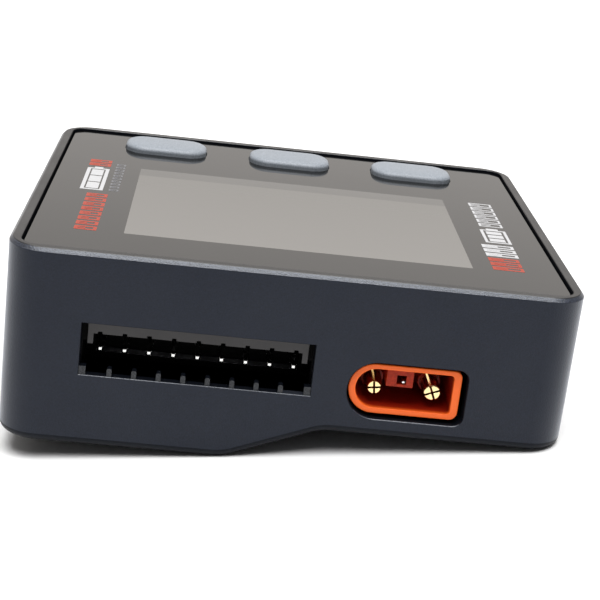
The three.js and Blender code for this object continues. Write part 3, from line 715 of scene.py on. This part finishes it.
# ------------------------------------------------------------------ buttons
def make_buttons():
    flange_top, flange_low, flange_edge = -2.7, -3.3, 0.08
    profile = [(BUTTON_FLANGE - flange_edge, flange_low), (BUTTON_FLANGE, flange_low + flange_edge)]
    profile += [(BUTTON_FLANGE, flange_top - flange_edge), (BUTTON_FLANGE - flange_edge, flange_top)]
    side_top, shoulder, shoulder_height, crown = 0.02, 0.75, 0.56, 0.7
    profile += [(0, flange_top), (0, side_top)]
    shoulder_steps, crown_steps = 10, 8
    for i in range(1, shoulder_steps + 1):
        a = i / shoulder_steps * math.radians(80)
        profile.append((-shoulder * (1 - math.cos(a)), side_top + shoulder_height * math.sin(a)))
    start, start_z = profile[-1]
    for i in range(1, crown_steps + 1):
        t = i / crown_steps
        profile.append((start - (BUTTON_RADIUS - 0.9) * t, start_z + (crown - start_z) * (1 - (1 - t) ** 2)))
    for i, (x, body) in enumerate(zip(BUTTON_X, ("button_left", "button_middle", "button_right")), 1):
        cap = stack("cap", [pill(grow, z, (x, BUTTON_Y)) for grow, z in profile])
        stem = [(1.4, flange_low - 0.35), (1.5, flange_low - 0.25), (1.5, flange_low + 0.1)]
        join(cap, [upright("stem", stem, (x, BUTTON_Y), 32)])
        placed(shaded(cap, 45), f"cap_{i}", BUTTON, body, [f"button_cap_{i}"])


# ------------------------------------------------------------------ balance port
def centred(width, start, stop, low, high):
    """A block centred on the balance port, from one depth behind the port face to another."""
    return block((BALANCE_X - width / 2, FRONT + start, low), (BALANCE_X + width / 2, FRONT + stop, high))


def make_balance_port():
    roof, floor, back = -8.85, -12.6, 7.4
    nose = centred(22.5, 1.05, WALL + 0.6, -12.95, -7.55)
    body = centred(24.9, WALL + 0.1, 9.9, -13.3, -6.8)
    shell = join(nose, [body])
    grip, groove = PIN_SIDE / 2 + 0.05, 0.225
    cavity = centred(21.3, 0, back, floor, roof)
    front_relief = centred(23.5, 0, 6.0, -14.3, -9.95)
    tools = [cavity, front_relief]
    for i in range(PIN_COUNT):
        x = PIN_FIRST + i * PIN_PITCH
        tools.append(block((x - grip, FRONT, PIN_Z - grip), (x + grip, FRONT + 11, PIN_Z + grip)))
        tools.append(block((x - groove, FRONT, roof - 0.5), (x + groove, FRONT + back, roof + 0.25)))
    cut(shell, tools)
    softened(shell, 0.06)
    for face in shell.data.polygons:
        # Faces more than 1.2 mm behind the port face that don't face up take the darker copy: painted shade.
        face.material_index = int(face.center.y > FRONT + 1.2 and face.normal.z < 0.5)
    looks = (HEADER_BLACK, HEADER_SHADED)
    placed(shaded(shell), "balance_header", looks, replaces=["balance_socket_shell"])
    for i in range(PIN_COUNT):
        pin = balance_pin(PIN_FIRST + i * PIN_PITCH)
        placed(pin, f"header_pin_{i + 1}", TIN, replaces=[f"balance_pin_{i + 1}"])


def balance_pin(x):
    """A square pin with a coined tip, bent up through the board."""
    half, tip, leg, top = PIN_SIDE / 2, FRONT + PIN_TIP, FRONT + PIN_LEG, BOARD_TOP + 0.6
    run = [(x, tip, PIN_Z, 0.5), (x, tip + 0.12, PIN_Z, 0.82), (x, tip + 0.4, PIN_Z, 1.0)]
    rings = []
    for cx, y, z, share in run:
        s = half * share
        rings.append([(cx - s, y, z - s), (cx + s, y, z - s), (cx + s, y, z + s), (cx - s, y, z + s)])
    bend, bend_steps = 0.9, 6
    for i in range(bend_steps + 1):
        a = i / bend_steps * math.pi / 2
        cy, cz = leg - bend + bend * math.sin(a), PIN_Z + bend - bend * math.cos(a)
        across, lift = half * math.sin(a), half * math.cos(a)
        outer = (cy + across, cz - lift)
        inner = (cy - across, cz + lift)
        rings.append([(x - half, *outer), (x + half, *outer), (x + half, *inner), (x - half, *inner)])
    for z, share in ((top - 0.3, 1.0), (top, 0.7)):
        s = half * share
        rings.append([(x - s, leg + s, z), (x + s, leg + s, z), (x + s, leg - s, z), (x - s, leg - s, z)])
    return shaded(softened(stack("pin", rings), 0.05))


# ------------------------------------------------------------------ power port
def make_power_port():
    lip = 0.14
    outer = [(0.0, POWER_BACK)] + [(d, POWER_FRONT + drop) for d, drop in rounding(lip)]
    rings = [[(x, FRONT + depth, z) for x, z in d_outline(POWER, inset)] for inset, depth in outer]
    inner = [(-d, POWER_FRONT + drop) for d, drop in reversed(rounding(lip * 0.8))] + [(0.06, POWER_FLOOR)]
    rings += [[(x, FRONT + depth, z) for x, z in d_outline(POWER_INSIDE, inset)] for inset, depth in inner]
    shell = stack("shell", rings)
    root = FRONT + POWER_FLOOR + 0.5
    key = block((KEY["left"], FRONT + KEY["front"], KEY["low"]), (KEY["right"], root, KEY["high"]))
    softened(key, 0.08)
    rib_width = 0.35
    ribs = [block((x, FRONT + 4.0, -10.9), (x + rib_width, root, KEY["high"])) for x in (15.9, 16.55)]
    join(shell, [key] + ribs)
    bore = [(BULLET_RADIUS + 0.05, 0), (BULLET_RADIUS + 0.05, 12)]
    tools = [along_y("bore", bore, (bullet_x(side), BULLET_Z)) for side in (-1, 1)]
    hole_front = (KEY_HOLE["left"], FRONT, KEY_HOLE["low"])
    tools.append(block(hole_front, (KEY_HOLE["right"], FRONT + 12, KEY_HOLE["high"])))
    cut(shell, tools)
    # The key's front face takes the darker copy: painted shade.
    for face in shell.data.polygons:
        on_key = abs(face.center.y - FRONT - KEY["front"]) < 0.06 and face.normal.y < -0.5
        face.material_index = int(on_key and face.center.z < -9.5 and 10 < face.center.x < 12.9)
    looks = (ORANGE, ORANGE_KEY)
    placed(shaded(shell), "power_shell", looks, replaces=["power_socket_shell"])
    placed(data_pin(), "data_pin", TIN, replaces=["power_data_pin"])
    for side, name in ((-1, "left"), (1, "right")):
        centre = (bullet_x(side), BULLET_Z)
        profile = [(1.14, COLLAR_FRONT), (1.2, COLLAR_FRONT + 0.06), (1.24, POWER_FLOOR - 0.02)]
        collar = along_y("collar", profile, centre)
        cut(collar, [along_y("bore", [(BULLET_RADIUS + 0.1, 0), (BULLET_RADIUS + 0.1, 12)], centre)])
        placed(shaded(collar), f"collar_{name}", ORANGE)
    for side, name, turn, radius in ((-1, "left", 7, 0.76), (1, "right", 22, 0.88)):
        tube = contact(bullet_x(side), math.radians(turn), radius)
        placed(tube, f"contact_{name}", GOLD, replaces=[f"power_contact_{name}"])


def bullet_x(side):
    return BULLET_X + side * BULLET_SPACING / 2


def data_pin():
    """The small pin in the key's hole, with a rounded tip and a solder leg."""
    radius, tip = DATA_PIN_RADIUS, DATA_PIN_TIP
    profile = [(0.07, tip), (0.13, tip + 0.03), (0.2, 1.5), (radius, 1.8), (radius, BULLET_LEG)]
    pin = along_y("pin", profile, (DATA_PIN_X, DATA_PIN_Z), 24)
    leg = [(0.2, -11.0), (0.2, BOARD_TOP + 0.6)]
    join(pin, [upright("leg", leg, (DATA_PIN_X, FRONT + BULLET_LEG - radius), 24)])
    return shaded(pin)


def contact(x, turn, r):
    """A round contact with four sprung petals and a solder leg."""
    tip, leg = BULLET_TIP, BULLET_LEG
    body = along_y("contact", [
        (0.35, tip), (r * 0.85, tip + 0.02), (r * 0.95, tip + 0.08), (r, tip + 0.3), (0.97, tip + 1.3),
        (0.97, POWER_FLOOR - 0.2), (0.87, POWER_FLOOR - 0.1), (0.87, leg + 0.7),
    ], (x, BULLET_Z))
    join(body, [upright("leg", [(0.6, BULLET_Z), (0.6, BOARD_TOP + 0.6)], (x, FRONT + leg), 24)])
    slits = []
    for half_x, half_z in ((2.0, 0.11), (0.11, 2.0)):
        slit = block((-half_x, FRONT, -half_z), (half_x, FRONT + tip + 3.5, half_z))
        slit.data.transform(Matrix.Translation((x, 0, BULLET_Z)) @ Matrix.Rotation(-turn, 4, "Y"))
        slits.append(slit)
    cut(body, slits)
    return shaded(softened(body, 0.03, 1))


# ------------------------------------------------------------------ screws
def make_screws():
    head, shank, bearing, tip = SCREW_HEAD, SCREW_SHANK, SCREW_BEARING - 0.05, -2.95
    low, centre = bearing - 1.3, 0.001
    profile = [(centre, low), (head * 0.6, low + 0.02), (head - 0.25, low + 0.14), (head, low + 0.45)]
    profile += [(head, bearing), (shank, bearing)]
    turns, pitch, thread = 26, 0.42, 0.16
    for i in range(turns):
        z = bearing + 0.4 + i * pitch
        profile += [(shank - thread, z), (shank, z + thread), (shank, z + 0.22)]
    profile += [(0.4, tip), (centre, tip)]
    for i, (x, y) in enumerate(SCREW_PLACES, 1):
        screw = upright("screw", profile, (x, y), 32)
        turn = 0.5 + 1.1 * i
        slots = []
        for half_x, half_y in ((0.95, 0.17), (0.17, 0.95)):
            slot = block((-half_x, -half_y, low - 1), (half_x, half_y, low + 0.75))
            slot.data.transform(Matrix.Translation((x, y, 0)) @ Matrix.Rotation(turn, 4, "Z"))
            slots.append(slot)
        cut(screw, slots)
        placed(shaded(screw), f"screw_{i}", STEEL, replaces=[f"case_screw_{i}"])


make_case()
make_panel()
make_marks()
make_buttons()
make_balance_port()
make_power_port()
make_screws()


# ------------------------------------------------------------------ floor, light and camera
def make_floor():
    bm = bmesh.new()
    bmesh.ops.create_circle(bm, cap_ends=True, radius=3.0, segments=64)
    floor = new_object("floor", bm)
    mat = material("floor_white", (0.9, 0.9, 0.9), 0.6, specular=0.2)
    floor.data.materials.append(mat)


def make_world():
    world = bpy.data.worlds.new("studio")
    bpy.context.scene.world = world
    world.use_nodes = True
    world.node_tree.nodes["Background"].inputs["Color"].default_value = (1, 1, 1, 1)
    world.node_tree.nodes["Background"].inputs["Strength"].default_value = 0.13


def softbox(name, place, target, size, power, color=(1, 1, 1)):
    """A rectangular area light at a place in metres, turned towards a target."""
    light = bpy.data.lights.new(name, "AREA")
    light.color = color
    light.shape = "RECTANGLE"
    light.size, light.size_y = size
    light.energy = power
    obj = bpy.data.objects.new(name, light)
    obj.location = place
    obj.rotation_euler = (Vector(target) - Vector(place)).to_track_quat("-Z", "Y").to_euler()
    bpy.context.scene.collection.objects.link(obj)


def make_camera():
    """The camera looks down on the port face from a little to the left, in the device frame, mm."""
    place = Vector((-10.163, -170.558, 46.414))
    forward = Vector((0.067574, 0.943900, -0.323243)).normalized()
    up = Vector((-0.097542, 0.328682, 0.939390))
    right = forward.cross(up).normalized()
    up = right.cross(forward)
    axes = Matrix((right, up, -forward)).transposed().to_4x4()
    data = bpy.data.cameras.new("camera")
    data.lens = 91.17
    data.sensor_width = 36.0
    data.clip_start = 0.01
    camera = bpy.data.objects.new("camera", data)
    camera.matrix_world = Matrix.Translation(DEVICE @ (place * MM)) @ TURN @ axes
    bpy.context.scene.collection.objects.link(camera)
    bpy.context.scene.camera = camera


make_floor()
make_world()
softbox("overhead", (0.06, -0.12, 0.75), (0, 0, 0), size=(0.7, 0.7), power=11.5)
softbox("back", (0.0, 1.2, 0.7), (0, 0, 0.2), size=(3.0, 1.6), power=11.7, color=(1.0, 0.945, 0.895))
make_camera()
bpy.context.scene.view_settings.view_transform = "Standard"
